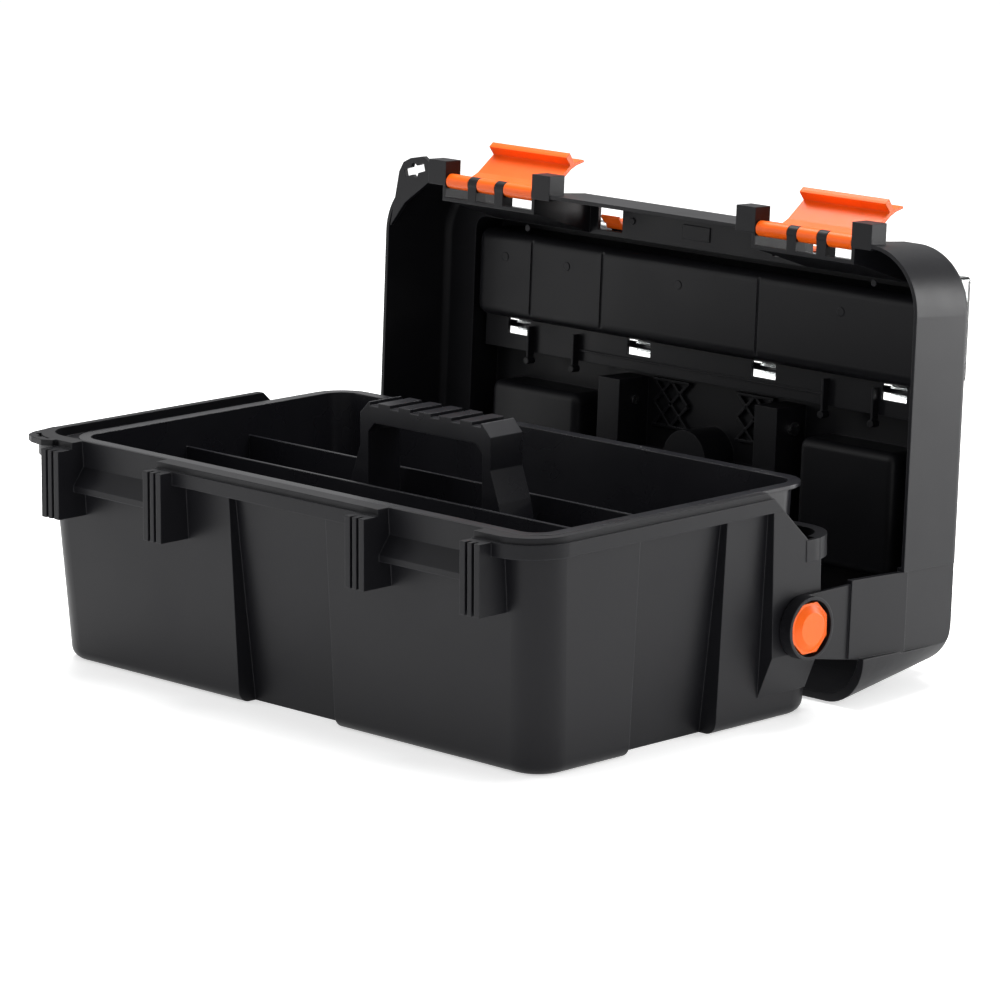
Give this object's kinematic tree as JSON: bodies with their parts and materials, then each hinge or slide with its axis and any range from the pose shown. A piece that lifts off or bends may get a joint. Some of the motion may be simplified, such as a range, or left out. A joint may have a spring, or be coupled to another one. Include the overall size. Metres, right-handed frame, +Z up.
{
  "type": "toolbox with tray",
  "caption": "Plastic toolbox standing open: lift-out tray with a handle, hinged lid with clear-covered bins, folding carry handle and two flip latches.",
  "frame": {"origin": "centre of the underside the box stands on, under the middle of the latch side to hinge side and of the length", "axes": "+X along the length to the right seen from the latch side, +Y from the latch side to the hinge side, +Z up; box stands open"},
  "size_m": [0.4986, 0.4398, 0.3148],
  "materials": {
    "black_polypropylene": "fine satin grain",
    "tray_black": "smooth satin",
    "handle_black": "fine satin grain",
    "rod_black": "smooth",
    "orange_plastic": "satin",
    "clear_polycarbonate": "clear moulded",
    "pin_steel": "plain turned"
  },
  "bodies": {
    "base": {"base_tub": "black_polypropylene", "pivot_pin_left": "orange_plastic", "pivot_pin_right": "orange_plastic"},
    "lid": {"lid_shell": "black_polypropylene", "hinge_rod_front": "rod_black", "hinge_rod_left": "rod_black", "hinge_rod_right": "rod_black", "handle_pin_left": "pin_steel", "handle_pin_right": "pin_steel"},
    "tray": {"lift_out_tray": "tray_black"},
    "front_cover": {"front_bin_cover": "clear_polycarbonate"},
    "clasp_left": {"cover_clasp_left": "orange_plastic"},
    "clasp_right": {"cover_clasp_right": "orange_plastic"},
    "rear_cover_left": {"rear_bin_cover_left": "clear_polycarbonate"},
    "rear_cover_right": {"rear_bin_cover_right": "clear_polycarbonate"},
    "latch_left": {"latch_left": "orange_plastic"},
    "latch_right": {"latch_right": "orange_plastic"},
    "handle": {"carry_handle": "handle_black"}
  },
  "joints": [
    {"name": "lid_hinge", "type": "hinge", "parent": "base", "child": "lid", "pos_m": [0, 0.0935, 0.0628], "axis": [1, 0, 0], "range_deg": [0, 92.6]},
    {"name": "latch_left_hinge", "type": "hinge", "parent": "lid", "child": "latch_left", "pos_m": [0, 0.19965, 0.29072], "axis": [1, 0, 0], "range_deg": [0, 141.5]},
    {"name": "latch_right_hinge", "type": "hinge", "parent": "lid", "child": "latch_right", "pos_m": [0, 0.19965, 0.29072], "axis": [1, 0, 0], "range_deg": [0, 141.5]},
    {"name": "tray_lift", "type": "slide", "parent": "base", "child": "tray", "axis": [0, 0, -1], "range_m": [-0.15, 0]},
    {"name": "front_cover_hinge", "type": "hinge", "parent": "lid", "child": "front_cover", "pos_m": [0, 0.26629, 0.18208], "axis": [1, 0, 0], "range_deg": [-100, 0]},
    {"name": "clasp_left_hinge", "type": "hinge", "parent": "front_cover", "child": "clasp_left", "pos_m": [0, 0.27808, 0.26534], "axis": [1, 0, 0], "range_deg": [-100, 0]},
    {"name": "clasp_right_hinge", "type": "hinge", "parent": "front_cover", "child": "clasp_right", "pos_m": [0, 0.27808, 0.26534], "axis": [1, 0, 0], "range_deg": [-100, 0]},
    {"name": "rear_cover_left_hinge", "type": "hinge", "parent": "lid", "child": "rear_cover_left", "pos_m": [0, 0.26032, 0.05072], "axis": [1, 0, 0], "range_deg": [-100, 0]},
    {"name": "rear_cover_right_hinge", "type": "hinge", "parent": "lid", "child": "rear_cover_right", "pos_m": [0, 0.26032, 0.05072], "axis": [1, 0, 0], "range_deg": [-100, 0]},
    {"name": "handle_hinge", "type": "hinge", "parent": "lid", "child": "handle", "pos_m": [0, 0.25664, 0.14599], "axis": [1, 0, 0], "range_deg": [0, 105]}
  ]
}
